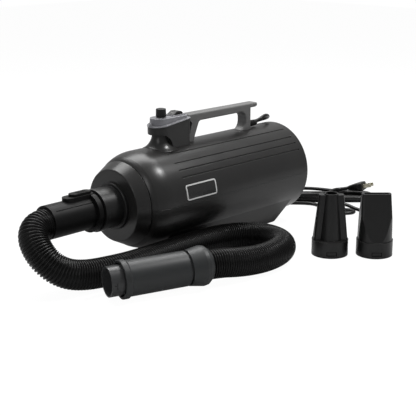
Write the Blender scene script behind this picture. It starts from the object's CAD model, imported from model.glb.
"""Pet dryer: finishes, hose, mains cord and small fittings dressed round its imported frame."""

import math

import bmesh
import bpy
from mathutils import Matrix, Vector


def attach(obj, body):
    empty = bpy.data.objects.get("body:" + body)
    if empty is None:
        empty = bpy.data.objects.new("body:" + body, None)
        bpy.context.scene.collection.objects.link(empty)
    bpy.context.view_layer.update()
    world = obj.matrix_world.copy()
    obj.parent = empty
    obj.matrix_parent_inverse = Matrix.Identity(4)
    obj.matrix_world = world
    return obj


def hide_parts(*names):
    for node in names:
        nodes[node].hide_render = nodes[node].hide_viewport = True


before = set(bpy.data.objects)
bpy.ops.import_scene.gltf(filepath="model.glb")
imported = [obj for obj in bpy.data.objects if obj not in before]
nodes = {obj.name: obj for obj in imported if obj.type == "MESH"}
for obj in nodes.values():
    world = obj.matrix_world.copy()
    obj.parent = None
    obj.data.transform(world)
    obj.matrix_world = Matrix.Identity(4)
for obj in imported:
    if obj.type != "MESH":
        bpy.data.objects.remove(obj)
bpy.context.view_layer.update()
MM = 0.001


# ---------------------------------------------------------------- camera, lights and floor

LENS_MM = 90.35
SENSOR_MM = 36
CAMERA_PLACE = Vector((-1.255, -1.219, 0.545))
CAMERA_TARGET = Vector((-0.0005, 0, 0.04715))


def make_camera():
    """The studio camera, low and in front of the dryer's near side."""
    data = bpy.data.cameras.new("studio_camera")
    data.lens = LENS_MM
    data.sensor_width = SENSOR_MM
    data.clip_start = 0.05
    data.clip_end = 20
    camera = bpy.data.objects.new("studio_camera", data)
    camera.location = CAMERA_PLACE
    camera.rotation_euler = (CAMERA_TARGET - CAMERA_PLACE).to_track_quat("-Z", "Y").to_euler()
    bpy.context.scene.collection.objects.link(camera)
    bpy.context.scene.camera = camera


def soft_lamp(name, place, target, size, power):
    """A rectangular softbox; places and size in metres, power in watts."""
    data = bpy.data.lights.new(name, "AREA")
    data.shape = "RECTANGLE"
    data.size, data.size_y = size
    data.energy = power
    lamp = bpy.data.objects.new(name, data)
    lamp.location = place
    lamp.rotation_euler = (Vector(target) - Vector(place)).to_track_quat("-Z", "Y").to_euler()
    bpy.context.scene.collection.objects.link(lamp)


def make_lamps():
    soft_lamp("key_softbox", place=(0.56, -0.56, 1.45), target=(-0.1, 0, 0.1), size=(0.24, 0.24), power=17)
    soft_lamp("overhead_softbox", place=(0.25, 0.65, 1.45), target=(0, 0, 0.12), size=(1.7, 0.8), power=33)
    soft_lamp("window_softbox", place=(-1.5, -0.5, 1.0), target=(-0.15, 0, 0.1), size=(0.4, 0.7), power=4.5)


def seen_share(tree, direct, mirrored):
    """How far a backdrop shows white: fully to the camera and through glass, partly in reflections."""
    ray = tree.nodes.new("ShaderNodeLightPath")
    plain = sum_node(tree, "MAXIMUM", ray.outputs["Is Camera Ray"], ray.outputs["Is Transmission Ray"])
    glossy = sum_node(tree, "MULTIPLY", ray.outputs["Is Glossy Ray"], mirrored)
    return sum_node(tree, "MAXIMUM", sum_node(tree, "MULTIPLY", plain, direct), glossy)


ROOM_LIGHT = 0.1


def make_world():
    """A dim, cool room that shows as plain white behind the object."""
    world = bpy.data.worlds.new("white_studio")
    bpy.context.scene.world = world
    world.use_nodes = True
    links = world.node_tree.links
    made = world.node_tree.nodes
    made.clear()
    room = made.new("ShaderNodeBackground")
    room.inputs["Color"].default_value = (0.93, 0.95, 1, 1)
    room.inputs["Strength"].default_value = ROOM_LIGHT
    white = made.new("ShaderNodeBackground")
    white.inputs["Color"].default_value = (1, 1, 1, 1)
    white.inputs["Strength"].default_value = 1
    choice = made.new("ShaderNodeMixShader")
    output = made.new("ShaderNodeOutputWorld")
    links.new(seen_share(world.node_tree, direct=1.0, mirrored=0.42), choice.inputs["Fac"])
    links.new(room.outputs["Background"], choice.inputs[1])
    links.new(white.outputs["Background"], choice.inputs[2])
    links.new(choice.outputs["Shader"], output.inputs["Surface"])


FLOOR_SIZE = 8
FLOOR_DROP = 0.0003
FLOOR_GREY = 0.6
FLOOR_GLOW = 1.1


def make_floor():
    """Pale floor that shows white in the camera and still carries a faint shadow."""
    bpy.ops.object.select_all(action="DESELECT")
    bpy.ops.mesh.primitive_plane_add(size=FLOOR_SIZE, location=(0, 0, -FLOOR_DROP))
    floor = bpy.context.object
    floor.name = "studio_floor"
    surface = bpy.data.materials.new("pale_floor")
    surface.use_nodes = True
    made = surface.node_tree.nodes
    links = surface.node_tree.links
    shader = made["Principled BSDF"]
    shader.inputs["Base Color"].default_value = (FLOOR_GREY, FLOOR_GREY, FLOOR_GREY, 1)
    shader.inputs["Roughness"].default_value = 0.7
    shader.inputs["Specular IOR Level"].default_value = 0.2
    glow = made.new("ShaderNodeEmission")
    glow.inputs["Color"].default_value = (1, 1, 1, 1)
    glow.inputs["Strength"].default_value = FLOOR_GLOW
    choice = made.new("ShaderNodeMixShader")
    links.new(seen_share(surface.node_tree, direct=0.88, mirrored=0.12), choice.inputs["Fac"])
    links.new(shader.outputs["BSDF"], choice.inputs[1])
    links.new(glow.outputs["Emission"], choice.inputs[2])
    links.new(choice.outputs["Shader"], made["Material Output"].inputs["Surface"])
    floor.data.materials.append(surface)


# ---------------------------------------------------------------- shared effects

def effect_group(name, inputs, outputs):
    """A new node group with named sockets; gives the tree, its input node and its output node."""
    tree = bpy.data.node_groups.new(name, "ShaderNodeTree")
    for label, kind, value in inputs:
        socket = tree.interface.new_socket(label, in_out="INPUT", socket_type=kind)
        if value is not None:
            socket.default_value = value
    for label, kind in outputs:
        tree.interface.new_socket(label, in_out="OUTPUT", socket_type=kind)
    return tree, tree.nodes.new("NodeGroupInput"), tree.nodes.new("NodeGroupOutput")


def sum_node(tree, operation, first, second=None, clamp=False):
    """A math node fed by sockets or plain numbers; gives back its output."""
    node = tree.nodes.new("ShaderNodeMath")
    node.operation = operation
    node.use_clamp = clamp
    for slot, value in enumerate((first, second)):
        if isinstance(value, bpy.types.NodeSocket):
            tree.links.new(value, node.inputs[slot])
        elif value is not None:
            node.inputs[slot].default_value = value
    return node.outputs[0]


MIX_SHARE, MIX_FIRST, MIX_SECOND, MIX_RESULT = 0, 6, 7, 2


def colour_mix(tree, share, first, second, blend="MIX"):
    """A colour mix fed by sockets or plain values; gives back its colour output."""
    node = tree.nodes.new("ShaderNodeMix")
    node.data_type = "RGBA"
    node.blend_type = blend
    for slot, value in ((MIX_SHARE, share), (MIX_FIRST, first), (MIX_SECOND, second)):
        if isinstance(value, bpy.types.NodeSocket):
            tree.links.new(value, node.inputs[slot])
        else:
            node.inputs[slot].default_value = value
    return node.outputs[MIX_RESULT]


def noise(tree, where, scale, detail=2.0, roughness=0.5):
    """Noise read at a place; the scale is a plain number or a socket."""
    node = tree.nodes.new("ShaderNodeTexNoise")
    tree.links.new(where, node.inputs["Vector"])
    if isinstance(scale, bpy.types.NodeSocket):
        tree.links.new(scale, node.inputs["Scale"])
    else:
        node.inputs["Scale"].default_value = scale
    node.inputs["Detail"].default_value = detail
    node.inputs["Roughness"].default_value = roughness
    return node.outputs["Fac"]


PIT_SHARE = 0.55
BROAD_SHARE = 0.02


def make_grain_group():
    """Spark-eroded grain of a moulding tool: fine pits with a coarser unevenness."""
    tree, given, result = effect_group(
        "moulded_grain",
        [("Place", "NodeSocketVector", None), ("Fineness", "NodeSocketFloat", 1800.0),
         ("Unevenness", "NodeSocketFloat", 0.3)],
        [("Height", "NodeSocketFloat"), ("Mottle", "NodeSocketFloat")],
    )
    fine = noise(tree, given.outputs["Place"], given.outputs["Fineness"], 3.0, 0.6)
    pits = tree.nodes.new("ShaderNodeTexVoronoi")
    pits.feature = "SMOOTH_F1"
    tree.links.new(given.outputs["Place"], pits.inputs["Vector"])
    tree.links.new(sum_node(tree, "MULTIPLY", given.outputs["Fineness"], PIT_SHARE), pits.inputs["Scale"])
    broad_scale = sum_node(tree, "MULTIPLY", given.outputs["Fineness"], BROAD_SHARE)
    broad = noise(tree, given.outputs["Place"], broad_scale, 2.0)
    pitted = sum_node(tree, "ADD", sum_node(tree, "MULTIPLY", fine, 0.6),
                      sum_node(tree, "MULTIPLY", pits.outputs["Distance"], 0.5))
    height = sum_node(tree, "ADD", pitted, sum_node(tree, "MULTIPLY", broad, given.outputs["Unevenness"]))
    tree.links.new(height, result.inputs["Height"])
    tree.links.new(sum_node(tree, "ADD", sum_node(tree, "MULTIPLY", fine, 0.35),
                            sum_node(tree, "MULTIPLY", broad, 0.65)), result.inputs["Mottle"])
    return tree


EDGE_SHARPNESS = 9.0
BREAKUP_SCALE = 260.0
CLOUD_SCALE = 26.0
SPECK_SCALE = 700.0
DUST_COLOUR = (0.3, 0.29, 0.27, 1)


def make_handling_group():
    """Where a piece is handled: edges rubbed lighter, faces a little uneven, dust on what faces up."""
    tree, given, result = effect_group(
        "handling_wear",
        [("Place", "NodeSocketVector", None), ("Colour", "NodeSocketColor", (0.02, 0.02, 0.02, 1)),
         ("Rubbed", "NodeSocketColor", (0.06, 0.06, 0.06, 1)), ("Edge Width", "NodeSocketFloat", 0.0008),
         ("Edge Amount", "NodeSocketFloat", 0.4), ("Patchiness", "NodeSocketFloat", 0.2),
         ("Dust", "NodeSocketFloat", 0.05)],
        [("Colour", "NodeSocketColor"), ("Cloudiness", "NodeSocketFloat"),
         ("Soft Normal", "NodeSocketVector")],
    )
    bevel = tree.nodes.new("ShaderNodeBevel")
    bevel.samples = 6
    tree.links.new(given.outputs["Edge Width"], bevel.inputs["Radius"])
    facing = tree.nodes.new("ShaderNodeNewGeometry")
    turn = tree.nodes.new("ShaderNodeVectorMath")
    turn.operation = "DOT_PRODUCT"
    tree.links.new(bevel.outputs["Normal"], turn.inputs[0])
    tree.links.new(facing.outputs["Normal"], turn.inputs[1])
    away = sum_node(tree, "SUBTRACT", 1.0, turn.outputs["Value"])
    breakup = noise(tree, given.outputs["Place"], BREAKUP_SCALE, 4.0, 0.65)
    edge = sum_node(tree, "MULTIPLY", sum_node(tree, "MULTIPLY", away, EDGE_SHARPNESS, True),
                    sum_node(tree, "MULTIPLY", breakup, given.outputs["Edge Amount"]), True)
    cloud = noise(tree, given.outputs["Place"], CLOUD_SCALE, 3.0, 0.55)
    swing = sum_node(tree, "SUBTRACT", cloud, 0.5)
    level = sum_node(tree, "ADD", 1.0, sum_node(tree, "MULTIPLY", swing, given.outputs["Patchiness"]))
    grey = tree.nodes.new("ShaderNodeCombineColor")
    for slot in range(3):
        tree.links.new(level, grey.inputs[slot])
    cloudy = colour_mix(tree, 1.0, given.outputs["Colour"], grey.outputs["Color"], "MULTIPLY")
    worn = colour_mix(tree, edge, cloudy, given.outputs["Rubbed"])
    split = tree.nodes.new("ShaderNodeSeparateXYZ")
    tree.links.new(facing.outputs["Normal"], split.inputs[0])
    upward = sum_node(tree, "POWER", sum_node(tree, "MAXIMUM", split.outputs["Z"], 0.0), 3.0)
    specks = noise(tree, given.outputs["Place"], SPECK_SCALE, 5.0, 0.7)
    settled = sum_node(tree, "MULTIPLY", sum_node(tree, "MULTIPLY", upward, specks), given.outputs["Dust"])
    dusty = colour_mix(tree, settled, worn, DUST_COLOUR)
    tree.links.new(dusty, result.inputs["Colour"])
    tree.links.new(cloud, result.inputs["Cloudiness"])
    tree.links.new(bevel.outputs["Normal"], result.inputs["Soft Normal"])
    return tree


GRAIN = make_grain_group()
HANDLING = make_handling_group()


SPECKLE_DEPTH = 0.16
COAT_ROUGHNESS = 0.2


def grey_of(level, warmth=0.0):
    """A near-neutral colour; level is linear, warmth shifts it from blue to brown."""
    return (level * (1 + warmth), level, level * (1 - warmth), 1)


def finish(name, colour, rubbed, roughness, grain, edge=(0.0007, 0.4), patchiness=0.25, dust=0.04,
           metallic=0.0, coat=0.0, specular=0.3):
    """A worn, grained finish.

    roughness is (low, high), grain is (fineness per metre, depth in metres) and edge is (width in
    metres, amount of rubbing).
    """
    made = bpy.data.materials.new(name)
    made.use_nodes = True
    tree = made.node_tree
    shader = tree.nodes["Principled BSDF"]
    place = tree.nodes.new("ShaderNodeTexCoord").outputs["Object"]
    texture = tree.nodes.new("ShaderNodeGroup")
    texture.node_tree = GRAIN
    texture.inputs["Fineness"].default_value = grain[0]
    tree.links.new(place, texture.inputs["Place"])
    wear = tree.nodes.new("ShaderNodeGroup")
    wear.node_tree = HANDLING
    wear.inputs["Colour"].default_value = colour
    wear.inputs["Rubbed"].default_value = rubbed
    wear.inputs["Edge Width"].default_value = edge[0]
    wear.inputs["Edge Amount"].default_value = edge[1]
    wear.inputs["Patchiness"].default_value = patchiness
    wear.inputs["Dust"].default_value = dust
    tree.links.new(place, wear.inputs["Place"])
    speckled = colour_mix(tree, SPECKLE_DEPTH, wear.outputs["Colour"], (0, 0, 0, 1), "MULTIPLY")
    mottled = colour_mix(tree, texture.outputs["Mottle"], speckled, wear.outputs["Colour"])
    tree.links.new(mottled, shader.inputs["Base Color"])
    gloss = tree.nodes.new("ShaderNodeMapRange")
    gloss.inputs["To Min"].default_value = roughness[0]
    gloss.inputs["To Max"].default_value = roughness[1]
    blend = sum_node(tree, "ADD", sum_node(tree, "MULTIPLY", texture.outputs["Mottle"], 0.5),
                     sum_node(tree, "MULTIPLY", wear.outputs["Cloudiness"], 0.5))
    tree.links.new(blend, gloss.inputs["Value"])
    tree.links.new(gloss.outputs["Result"], shader.inputs["Roughness"])
    bump = tree.nodes.new("ShaderNodeBump")
    bump.inputs["Strength"].default_value = 1.0
    bump.inputs["Distance"].default_value = grain[1]
    tree.links.new(texture.outputs["Height"], bump.inputs["Height"])
    tree.links.new(wear.outputs["Soft Normal"], bump.inputs["Normal"])
    tree.links.new(bump.outputs["Normal"], shader.inputs["Normal"])
    shader.inputs["Metallic"].default_value = metallic
    shader.inputs["Coat Weight"].default_value = coat
    shader.inputs["Coat Roughness"].default_value = COAT_ROUGHNESS
    shader.inputs["Specular IOR Level"].default_value = specular
    return made


FINISHES = {
    "housing": finish("housing_plastic", grey_of(0.019, 0.02), grey_of(0.06), (0.24, 0.37), (1500, 0.00001)),
    "handle": finish("handle_satin_plastic", grey_of(0.13, 0.01), grey_of(0.3), (0.34, 0.48),
                     (1900, 0.000015), edge=(0.001, 1.2)),
    "trim": finish("grey_trim_plastic", (0.24, 0.24, 0.256, 1), (0.42, 0.42, 0.44, 1), (0.3, 0.42),
                   (2300, 0.000012), edge=(0.001, 2.4), metallic=0.15),
    "nozzle": finish("nozzle_plastic", grey_of(0.0085), grey_of(0.04), (0.28, 0.4), (1600, 0.00001),
                     edge=(0.00035, 1.0)),
    "connector": finish("connector_plastic", grey_of(0.004), grey_of(0.03), (0.42, 0.56), (1600, 0.00001),
                        edge=(0.00035, 1.0), specular=0.12),
    "spout": finish("spout_plastic", grey_of(0.016), grey_of(0.06), (0.3, 0.44), (1500, 0.00001),
                    specular=0.2),
    "grip": finish("handpiece_plastic", (0.027, 0.0288, 0.0295, 1), grey_of(0.07), (0.36, 0.5),
                   (1500, 0.00002)),
    "tube": finish("hand_tube_plastic", (0.045, 0.046, 0.047, 1), grey_of(0.09), (0.26, 0.36),
                   (1500, 0.000015)),
    "knob": finish("knob_plastic", grey_of(0.003), grey_of(0.04), (0.36, 0.5), (1700, 0.00002),
                   edge=(0.0004, 0.6)),
    "rubber": finish("base_rubber", grey_of(0.009), grey_of(0.03), (0.6, 0.78), (900, 0.00004), dust=0.12,
                     specular=0.35),
    "cord": finish("cord_pvc", grey_of(0.003), grey_of(0.012), (0.26, 0.36), (1300, 0.000008), dust=0.02,
                   edge=(0.0002, 0.1), specular=0.26),
    "gap": finish("shadow_gap_plastic", grey_of(0.001), grey_of(0.01), (0.6, 0.8), (1500, 0.00001),
                  edge=(0.0002, 0.1), specular=0.05),
    "plug_face": finish("plug_face_plastic", (0.016, 0.015, 0.0115, 1), grey_of(0.04), (0.4, 0.55),
                        (1500, 0.00002)),
    "badge": finish("badge_panel_lacquer", grey_of(0.008), grey_of(0.03), (0.2, 0.3), (1300, 0.000008),
                    coat=0.4, edge=(0.0004, 0.3)),
    "badge_line": finish("badge_line_paint", (0.72, 0.72, 0.71, 1), (0.8, 0.8, 0.79, 1), (0.35, 0.45),
                         (1800, 0.00001), edge=(0.0002, 0.2)),
    "mark": finish("switch_mark_paint", (0.36, 0.36, 0.35, 1), (0.5, 0.5, 0.5, 1), (0.45, 0.6),
                   (2000, 0.00001), edge=(0.0001, 0.2)),
    "steel": finish("plated_steel", (0.46, 0.46, 0.45, 1), (0.7, 0.7, 0.69, 1), (0.22, 0.4),
                    (2600, 0.000008), metallic=1.0, dust=0.0),
    "brass": finish("plated_brass", (0.66, 0.63, 0.5, 1), (0.8, 0.77, 0.64, 1), (0.2, 0.34),
                    (2600, 0.000006), metallic=1.0, dust=0.0),
    "copper": finish("copper_winding", (0.5, 0.2, 0.09, 1), (0.7, 0.35, 0.2, 1), (0.3, 0.44), (1100, 0.0001),
                     metallic=1.0, dust=0.0),
    "iron": finish("motor_iron", (0.12, 0.12, 0.125, 1), (0.3, 0.3, 0.3, 1), (0.35, 0.5), (1400, 0.00003),
                   metallic=0.8),
    "fan": finish("fan_plastic", (0.035, 0.035, 0.037, 1), grey_of(0.1), (0.35, 0.5), (1500, 0.00002)),
    "board": finish("board_laminate", (0.012, 0.075, 0.03, 1), (0.05, 0.16, 0.08, 1), (0.25, 0.4),
                    (1200, 0.00001), coat=0.3),
    "mica": finish("heater_mica", (0.42, 0.36, 0.27, 1), (0.55, 0.5, 0.4, 1), (0.4, 0.6), (700, 0.00005)),
    "wire": finish("heater_wire", (0.3, 0.27, 0.25, 1), (0.5, 0.46, 0.42, 1), (0.3, 0.5), (2000, 0.00001),
                   metallic=1.0, dust=0.0),
}


FOAM_CELL_SCALE = 620
FOAM_CELL_DEPTH = 0.0008


def make_foam_finish():
    """Open-cell filter foam: small round cells, deep and dull."""
    made = bpy.data.materials.new("filter_foam_cells")
    made.use_nodes = True
    tree = made.node_tree
    shader = tree.nodes["Principled BSDF"]
    place = tree.nodes.new("ShaderNodeTexCoord").outputs["Object"]
    cells = tree.nodes.new("ShaderNodeTexVoronoi")
    cells.inputs["Scale"].default_value = FOAM_CELL_SCALE
    tree.links.new(place, cells.inputs["Vector"])
    tint = colour_mix(tree, cells.outputs["Distance"], grey_of(0.004), (0.05, 0.05, 0.052, 1))
    tree.links.new(tint, shader.inputs["Base Color"])
    bump = tree.nodes.new("ShaderNodeBump")
    bump.inputs["Distance"].default_value = FOAM_CELL_DEPTH
    tree.links.new(cells.outputs["Distance"], bump.inputs["Height"])
    tree.links.new(bump.outputs["Normal"], shader.inputs["Normal"])
    shader.inputs["Roughness"].default_value = 0.92
    return made


HOSE_SCUFF_SCALE = 90.0
HOSE_CREST_COLOUR = (0.006, 0.0061, 0.0059, 1)


def make_hose_finish():
    """Blow-moulded hose: the cord's finish, with its crests scuffed a little lighter."""
    made = FINISHES["cord"].copy()
    made.name = "hose_plastic"
    tree = made.node_tree
    shader = tree.nodes["Principled BSDF"]
    crest = tree.nodes.new("ShaderNodeAttribute")
    crest.attribute_name = "crest"
    before = shader.inputs["Base Color"].links[0].from_socket
    place = tree.nodes["Texture Coordinate"].outputs["Object"]
    scuffs = noise(tree, place, HOSE_SCUFF_SCALE, 5.0, 0.7)
    share = sum_node(tree, "MULTIPLY", crest.outputs["Fac"], sum_node(tree, "MULTIPLY", scuffs, 0.9), True)
    lighter = colour_mix(tree, share, before, HOSE_CREST_COLOUR)
    tree.links.new(lighter, shader.inputs["Base Color"])
    shader.inputs["Specular IOR Level"].default_value = 0.15
    return made


FINISHES["foam"] = make_foam_finish()
FINISHES["hose"] = make_hose_finish()


def paint(key, *names):
    """Gives the named pieces of the frame one of the finishes."""
    for name in names:
        nodes[name].data.materials.clear()
        nodes[name].data.materials.append(FINISHES[key])


def paint_frame_pieces():
    """Every piece of the frame that shows, and those inside, by what they are made of."""
    paint("housing", "upper_housing", "lower_housing", "nose_cover", "rear_cover", "control_pod",
          "base_plate")
    paint("handle", "carrying_handle")
    paint("trim", "trim_panel")
    paint("nozzle", "round_nozzle", "flat_nozzle")
    paint("connector", "connector_housing", "lock_ring", "latch_button")
    paint("spout", "outlet_spout")
    paint("grip", "handpiece_sleeve", "handpiece_collar")
    paint("tube", "handpiece_tube")
    paint("knob", "speed_knob", "rocker_switch")
    paint("rubber", "rubber_base_ring", "strain_relief", "fan_mount_ring")
    paint("badge", "badge_plate")
    paint("steel", "base_screws", "control_shaft", "rocker_pin", "motor_shaft", "front_bearing",
          "rear_bearing", "latch_spring")
    paint("brass", "plug_blades")
    paint("iron", "motor_casing", "motor_stator")
    paint("copper", "motor_rotor")
    paint("fan", "impeller", "fan_case", "motor_carrier", "speed_control", "switch_body")
    paint("board", "control_board")
    paint("mica", "heater_frame")
    paint("wire", "heater_element")
    paint("foam", "filter_foam")


# ---------------------------------------------------------------- small fittings

SIDE_PARTS = 8


def skin(shell, rows, closed):
    """Joins each loop of corners to the next one with faces, and the last to the first when closed."""
    pairs = list(zip(rows, rows[1:]))
    if closed:
        pairs.append((rows[-1], rows[0]))
    for row, following in pairs:
        for index, vertex in enumerate(row):
            onward = (index + 1) % len(row)
            shell.faces.new((vertex, row[onward], following[onward], following[index]))


def rounded_loop(half_length, half_height, radius, divisions=6):
    """Points round a rectangle with rounded corners, its sides divided so that they can bend."""
    arcs = []
    for along, across, first in ((1, 1, 0), (-1, 1, 90), (-1, -1, 180), (1, -1, 270)):
        middle = Vector((along * (half_length - radius), across * (half_height - radius)))
        turns = [math.radians(first + 90 * step / divisions) for step in range(divisions + 1)]
        arcs.append([middle + Vector((math.cos(turn), math.sin(turn))) * radius for turn in turns])
    points = []
    for arc, following in zip(arcs, arcs[1:] + arcs[:1]):
        points += arc
        points += [arc[-1].lerp(following[0], step / SIDE_PARTS) for step in range(1, SIDE_PARTS)]
    return points


def ring_piece(name, outer, inner, low, high, put, finish_key):
    """A raised line between two loops, on a surface that put() finds from along, across and height."""
    shell = bmesh.new()
    rows = []
    for loop, height in ((outer, low), (outer, high), (inner, high), (inner, low)):
        rows.append([shell.verts.new(put(point.x, point.y, height)) for point in loop])
    skin(shell, rows, closed=True)
    return piece_from(shell, name, finish_key)


def piece_from(shell, name, *finish_keys):
    """Turn a closed shell into a named piece with its finishes."""
    bmesh.ops.recalc_face_normals(shell, faces=shell.faces)
    mesh = bpy.data.meshes.new(name)
    shell.to_mesh(mesh)
    shell.free()
    for key in finish_keys:
        mesh.materials.append(FINISHES[key])
    item = bpy.data.objects.new(name, mesh)
    bpy.context.scene.collection.objects.link(item)
    return item


BARREL_AXIS = 95
BADGE_MIDDLE = -95.25
BADGE_TURN = 13.1
BADGE_FACE = 80.7
BADGE_OUTER = (34, 12.7, 3.8)
BADGE_INNER = (31.7, 10.4, 2)


def on_badge(along, across, height):
    """A place on the badge panel, which bends round the barrel."""
    turn = math.radians(BADGE_TURN) + across / BADGE_FACE
    reach = BADGE_FACE + height
    upward = BARREL_AXIS + reach * math.sin(turn)
    return Vector((BADGE_MIDDLE + along, -reach * math.cos(turn), upward)) * MM


def make_badge_border():
    """Pale rounded line round the bare badge panel."""
    border = ring_piece("badge_border", rounded_loop(*BADGE_OUTER), rounded_loop(*BADGE_INNER),
                        low=-0.6, high=0.12, put=on_badge, finish_key="badge_line")
    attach(border, "dryer")


ROCKER_FOOT = Vector((-89, 0, 224.5))
ROCKER_CREST = Vector((-81, 0, 229.3))
ROCKER_HEEL = Vector((-71, 0, 228.7))
BAR_OUTER = (0.55, 2.7, 0.3)
BAR_INNER = (0.12, 2.2, 0.1)
RING_OUTER = (1.9, 1.9, 1.89)
RING_INNER = (1.25, 1.25, 1.24)


def on_slope(start, end):
    """Gives a function that places points on a slope across the dryer, from start up to end."""
    along = (end - start).normalized()
    upward = along.cross(Vector((0, 1, 0)))
    upward = upward if upward.z > 0 else -upward
    middle = (start + end) / 2

    def put(first, second, height):
        return (middle + along * first + Vector((0, 1, 0)) * second + upward * height) * MM

    return put


def make_rocker_marks():
    """The plain bar and ring that tell the on side of a switch from the off side."""
    front = on_slope(ROCKER_FOOT, ROCKER_CREST)
    rear = on_slope(ROCKER_CREST, ROCKER_HEEL)
    bar = ring_piece("rocker_on_mark", rounded_loop(*BAR_OUTER), rounded_loop(*BAR_INNER),
                     low=-0.1, high=0.12, put=front, finish_key="mark")
    ring = ring_piece("rocker_off_mark", rounded_loop(*RING_OUTER), rounded_loop(*RING_INNER),
                      low=-0.1, high=0.12, put=rear, finish_key="mark")
    for mark in (bar, ring):
        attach(mark, "rocker")


HAND_PLACE = Vector((-318.5, -130.3, 29.3))
HAND_AXIS = Vector((0.94255, -0.333774, 0.013962)).normalized()
TUBE_RADIUS = 22.8
CATCH_CORNERS = (
    (-16.5, -0.6), (-12.6, -0.6), (-12.6, -6.4), (-11.4, -6.4),
    (-11.4, 3.6), (-12.6, 3.6), (-12.6, 0.6), (-16.5, 0.6),
)
CATCH_SINK = -0.1
CATCH_HEIGHT = 0.5


def on_tube(along, across, height):
    """A place on the hand tube, from its seat forward and round from its near side."""
    side = HAND_AXIS.cross(Vector((0, 0, 1))).normalized()
    upward = side.cross(HAND_AXIS)
    turn = across / TUBE_RADIUS
    out = side * math.cos(turn) + upward * math.sin(turn)
    return (HAND_PLACE + HAND_AXIS * along + out * (TUBE_RADIUS + height)) * MM


def make_tube_catch():
    """L-shaped catch on the tube's near side that a nozzle's ring turns under."""
    shell = bmesh.new()
    low = [shell.verts.new(on_tube(along, across, CATCH_SINK)) for along, across in CATCH_CORNERS]
    high = [shell.verts.new(on_tube(along, across, CATCH_HEIGHT)) for along, across in CATCH_CORNERS]
    shell.faces.new(low)
    shell.faces.new(high)
    skin(shell, [low, high], closed=False)
    catch = piece_from(shell, "tube_catch", "knob")
    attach(catch, "handpiece")


NOZZLE_YAW = -45.8
WINDOW_FACE = 28.8
WINDOW_MIDDLE = 7.5
WINDOW_OUTER = (8.3, 3.45, 0.4)
WINDOW_INNER = (7.3, 2.5, 0.3)
ROUND_NOZZLE_PLACE = Vector((62.3, -219.3, WINDOW_MIDDLE))
FLAT_NOZZLE_PLACE = Vector((112.1, -273, WINDOW_MIDDLE))


def on_window(nozzle_place):
    """Gives a function that places points on the flat window in a nozzle's ring."""
    turned = Matrix.Rotation(math.radians(NOZZLE_YAW), 3, "Z")

    def put(along, across, height):
        return (nozzle_place + turned @ Vector((along, -WINDOW_FACE - height, across))) * MM

    return put


def make_window_frame(name, nozzle_place, body):
    """Dark line inside the window that the hand tube's catch comes to."""
    line = ring_piece(name, rounded_loop(*WINDOW_OUTER), rounded_loop(*WINDOW_INNER),
                      low=-0.3, high=0.1, put=on_window(nozzle_place), finish_key="gap")
    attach(line, body)


# Along the plug from its cord end: distance, half width, half height.
PLUG_SECTIONS = (
    (0, 4.2, 4.2), (3, 4.6, 4.5), (3.6, 5.8, 5.2), (6.6, 6.1, 5.4), (7.4, 5.3, 4.9), (8.2, 7.3, 5.9),
    (11.4, 7.7, 6.2), (12.2, 6.8, 5.6), (13, 8.9, 6.7), (16.2, 9.3, 6.9), (17, 8.4, 6.3),
    (17.8, 10.6, 7.2), (20.4, 11, 7.4), (21.2, 10.2, 6.9), (22, 12.2, 7.7), (24, 12.8, 7.9),
    (31.6, 12.9, 7.95), (32.6, 12.3, 7.4), (33, 11.6, 6.8),
)
PLUG_SIDES = 40


def plug_matrix():
    """The plug's own frame: its back at the origin, its blades along X."""
    turned = Matrix.Rotation(math.radians(PLUG_TURN), 4, "Z")
    lifted = Matrix.Rotation(math.radians(-PLUG_LIFT), 4, "Y")
    return hank_matrix() @ Matrix.Translation(PLUG_BACK) @ turned @ lifted


def make_plug():
    """Moulded plug: a wedge with stepped finger ridges and a square face with the blades' plate."""
    placed = plug_matrix()
    shell = bmesh.new()
    rows = []
    for along, half_width, half_height in PLUG_SECTIONS:
        corner = min(half_width, half_height) * 0.42 + 0.4
        outline = rounded_loop(half_width, half_height, corner, divisions=4)
        count = len(outline)
        picked = [outline[round(index * count / PLUG_SIDES) % count] for index in range(PLUG_SIDES)]
        rows.append([shell.verts.new(placed @ Vector((along, at.x, at.y)) * MM) for at in picked])
    skin(shell, rows, closed=False)
    shell.faces.new(rows[0])
    front = shell.faces.new(rows[-1])
    front.material_index = 1
    plug = piece_from(shell, "moulded_plug", "cord", "plug_face")
    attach(plug, "dryer")
    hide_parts("plug_body")
    return plug


# ---------------------------------------------------------------- free routes

CURVE_STEPS = 10
CURVE_ORDER = 3


def route_curve(name, points, weight=0.0, sides=0):
    """A smooth curve over the route's own points, with a round section when weight is given."""
    data = bpy.data.curves.new(name, "CURVE")
    data.dimensions = "3D"
    data.resolution_u = CURVE_STEPS
    data.bevel_depth = weight
    data.bevel_resolution = sides
    data.use_fill_caps = True
    spline = data.splines.new("NURBS")
    spline.points.add(len(points) - 1)
    for point, place in zip(spline.points, points):
        point.co = (*place, 1)
    spline.order_u = CURVE_ORDER
    spline.use_endpoint_u = True
    item = bpy.data.objects.new(name, data)
    bpy.context.scene.collection.objects.link(item)
    return item


def line_of(points):
    """Places read along the smooth curve over a route, and how far along it each one is."""
    item = route_curve("route_line", points)
    bpy.context.view_layer.update()
    seen = item.evaluated_get(bpy.context.evaluated_depsgraph_get())
    mesh = bpy.data.meshes.new_from_object(seen)
    places = [vertex.co.copy() for vertex in mesh.vertices]
    bpy.data.objects.remove(item)
    bpy.data.meshes.remove(mesh)
    reached = [0.0]
    for before, here in zip(places, places[1:]):
        reached.append(reached[-1] + (here - before).length)
    return places, reached


def in_metres(points):
    """Route points, given in millimetres, as places in metres."""
    return [Vector(point) * MM for point in points]


HOSE_RADIUS = 23
HOSE_ROOT = 20.6
HOSE_BORE = 19.4
HOSE_RIBS = 198
HOSE_SIDES = 36
BORE_STEPS = 160
FIRST_RIB_LENGTH = 4.4
LAST_RIB_LENGTH = 3.9
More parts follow.
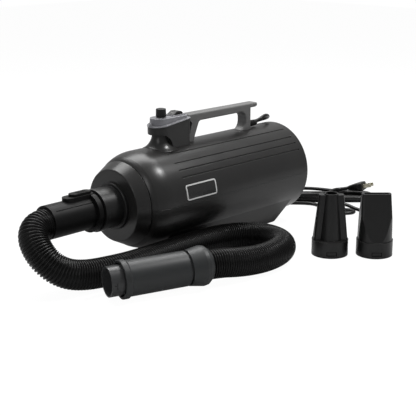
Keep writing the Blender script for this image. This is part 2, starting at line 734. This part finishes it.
# One rib: share of its length, and radius there.
RIB_SHAPE = (
    (0.0, HOSE_ROOT), (0.14, HOSE_ROOT + 0.1), (0.3, HOSE_RADIUS - 0.5), (0.45, HOSE_RADIUS),
    (0.62, HOSE_RADIUS), (0.77, HOSE_RADIUS - 0.5), (0.92, HOSE_ROOT + 0.1),
)
HOSE_ROUTE = [
    (-306, 0, 95), (-355, 0, 95), (-371, -3.1, 91.8), (-382.5, -11.7, 82.8), (-386.5, -24.5, 69.4),
    (-384, -38.6, 54.7), (-375, -51.4, 41.4), (-360, -60.7, 31.6), (-341, -65.9, 26.2), (-318, -71, 23.6),
    (-290, -76, 23.2), (-260, -81.5, 23.3), (-215, -81.4, 23.2), (-165, -80, 23.3), (-115, -79.4, 23.2),
    (-72, -81.5, 23.3), (-38, -90, 23.2), (-12, -107, 23.3), (1, -131, 23.2), (-1, -160, 23.3),
    (-16, -184, 23.2), (-42, -198, 23.3), (-75, -203, 23.2), (-106, -199, 23.6), (-136, -193, 26.5),
    (-169.6, -183, 31.5), (-225.2, -163.3, 30.7),
]

CORD_RADIUS = 3.35
CORD_IN_PLUG = 5
CORD_ROUTE = [
    (112, 0, 182), (129, 0, 184.5), (139, 0.5, 188), (150, 2, 190), (161, 6, 187.5), (169.5, 12.5, 183),
    (172.5, 21, 179.5), (169.5, 31, 176), (161, 43, 170.5), (151, 56, 161), (142, 70, 147), (133, 84, 127),
    (121, 95, 101), (108, 99.5, 72), (98, 101, 42), (97, 102, 18), (107, 104, 5.5), (127, 104, 3.5),
    (152, 97, 3.6), (180, 84, 3.5), (208, 63, 3.6), (230, 38, 3.5),
]

HANK_PLACE = (323.5, -15.7, 0)
HANK_YAW = -45.8
BIGHT_ROUTE = [
    (-81, -32.5, 3.6), (-50, -33.5, 3.5), (-31, -41, 3.6), (-23, -60, 3.5), (-21, -82, 3.6), (-9, -99, 3.5),
    (10, -104, 3.6), (24, -103.5, 3.5), (34, -99, 3.6), (37, -90.5, 3.5), (32, -82.5, 3.6), (20, -79, 3.5),
    (5, -78, 3.6), (-7, -70, 4), (-8, -57, 5), (3, -50, 7), (15, -56, 9.5), (28, -68, 9), (41, -82, 5.5),
    (58, -94, 3.6), (77, -96, 3.5), (92, -86, 3.6), (98, -67, 3.5), (94, -44, 3.6), (82, -22, 3.45),
    (82, 0, 3.45),
]
TAIL_ROUTE = [(-36, -24, 17.9), (-16, -22, 18.2), (-2, -11, 18.4), (5, 3, 18.3), (13, 14, 17.9),
              (27.3, 18.8, 17.9)]
PLUG_BACK = (39, 12, 21.5)
PLUG_TURN = -30
PLUG_LIFT = 15


HANK_REACH = 58
HANK_WIDTHS = (24, 16.5, 9)
HANK_LOW, HANK_HIGH, HANK_TOP = 3.45, 10.65, 17.85


def hank_matrix():
    """The hank's own frame: its middle at the origin, its length along X."""
    turned = Matrix.Rotation(math.radians(HANK_YAW), 4, "Z")
    return Matrix.Translation(HANK_PLACE) @ turned


def hank_bend(centre_x, from_y, to_y, height):
    """Route points round one end of the hank, on the square-cornered side of the bend."""
    middle = (from_y + to_y) / 2
    radius = abs(to_y - from_y) / 2
    corner = radius / math.cos(math.radians(22.5))
    away = math.copysign(1, centre_x)
    towards = math.copysign(1, to_y - from_y)
    points = []
    for angle in (-67.5, -22.5, 22.5, 67.5):
        turn = math.radians(angle)
        outward = centre_x + away * corner * math.cos(turn)
        points.append((outward, middle + towards * corner * math.sin(turn), height))
    return points


def hank_run(from_x, side, low, high):
    """Route points along one side of the hank, from one end towards the other."""
    return [(from_x * 0.5, side, low), (-from_x * 0.5, side, high)]


def hank_route():
    """Loops that spiral in on the floor, climb along one run and spiral out again on top."""
    reach, widths = HANK_REACH, HANK_WIDTHS
    low, high, top = HANK_LOW, HANK_HIGH, HANK_TOP
    points = hank_bend(reach, -widths[0], widths[0], low)[2:]
    for wide, tighter in zip(widths, widths[1:]):
        points += hank_run(reach, wide, low, low)
        points += hank_bend(-reach, wide, -tighter, low)
        points += hank_run(-reach, -tighter, low, low)
        points += hank_bend(reach, -tighter, tighter, low)
    points += hank_run(reach, widths[-1], low, high)
    for tight, wider in zip(widths[:0:-1], widths[-2::-1]):
        points += hank_bend(-reach, tight, -wider, high)
        points += hank_run(-reach, -wider, high, high)
        points += hank_bend(reach, -wider, wider, high)
        points += hank_run(reach, wider, high, top if wider == widths[0] else high)
    return points + hank_bend(-reach, widths[0], -widths[0], top)


def make_cord():
    """Mains cord from the strain relief round the back of the dryer, through its hank, to the plug."""
    placed = hank_matrix()
    laid = [placed @ Vector(point) for point in BIGHT_ROUTE + hank_route() + TAIL_ROUTE + [PLUG_BACK]]
    into_plug = plug_matrix() @ Vector((CORD_IN_PLUG, 0, 0))
    route = in_metres(CORD_ROUTE + laid + [into_plug])
    cord = route_curve("mains_cord", route, CORD_RADIUS * MM, 6)
    cord.data.materials.append(FINISHES["cord"])
    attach(cord, "dryer")
    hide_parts("cord_lead", "cord_hank", "cord_tail")
    make_plug()


def rings_along(places, reached, steps):
    """Rings for a tube, carried along without twist.

    For each (distance, radius) it gives the place, the two side directions and the radius.
    """
    found = []
    index = 0
    side = None
    for distance, radius in steps:
        while index < len(places) - 2 and distance > reached[index + 1]:
            index += 1
        share = (distance - reached[index]) / (reached[index + 1] - reached[index])
        here = places[index].lerp(places[index + 1], share)
        along = (places[index + 1] - places[index]).normalized()
        if share > 0.5 and index < len(places) - 2:
            ahead = (places[index + 2] - places[index + 1]).normalized()
            along = along.lerp(ahead, (share - 0.5)).normalized()
        elif share < 0.5 and index > 0:
            behind = (places[index] - places[index - 1]).normalized()
            along = along.lerp(behind, (0.5 - share)).normalized()
        if side is None:
            side = along.orthogonal().normalized()
        side = (side - along * side.dot(along)).normalized()
        found.append((here, side.copy(), along.cross(side), radius))
    return found


def make_hose():
    """Ribbed hose as a tube with its bore, ribs close and even."""
    places, reached = line_of(in_metres(HOSE_ROUTE))
    length = reached[-1]
    starts = [0.0]
    for index in range(HOSE_RIBS):
        stretch = (LAST_RIB_LENGTH - FIRST_RIB_LENGTH) * index / HOSE_RIBS
        starts.append(starts[-1] + FIRST_RIB_LENGTH + stretch)
    scale = length / starts[-1]
    steps = []
    for start, end in zip(starts, starts[1:]):
        steps += [((start + (end - start) * share) * scale, radius * MM) for share, radius in RIB_SHAPE]
    steps.append((length, HOSE_ROOT * MM))
    inside = [(length * index / BORE_STEPS, HOSE_BORE * MM) for index in range(BORE_STEPS + 1)]
    outer = rings_along(places, reached, steps)
    bore = rings_along(places, reached, inside)[::-1]
    shell = bmesh.new()
    crest = shell.verts.layers.float.new("crest")
    loops = []
    for here, first, second, radius in outer + bore:
        loop = []
        for index in range(HOSE_SIDES):
            turn = 2 * math.pi * index / HOSE_SIDES
            vertex = shell.verts.new(here + (first * math.cos(turn) + second * math.sin(turn)) * radius)
            height = (radius / MM - HOSE_ROOT) / (HOSE_RADIUS - HOSE_ROOT)
            vertex[crest] = max(0.0, height)
            loop.append(vertex)
        loops.append(loop)
    skin(shell, loops, closed=True)
    hose = piece_from(shell, "flexible_hose", "hose")
    hose.data.shade_smooth()
    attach(hose, "hose_end")
    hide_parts("ribbed_hose")


make_camera()
make_lamps()
make_world()
make_floor()
paint_frame_pieces()
make_cord()
make_hose()
make_badge_border()
make_rocker_marks()
make_tube_catch()
make_window_frame("round_window_frame", ROUND_NOZZLE_PLACE, "nozzle_round")
make_window_frame("flat_window_frame", FLAT_NOZZLE_PLACE, "nozzle_flat")

bpy.context.scene.view_settings.view_transform = "Standard"
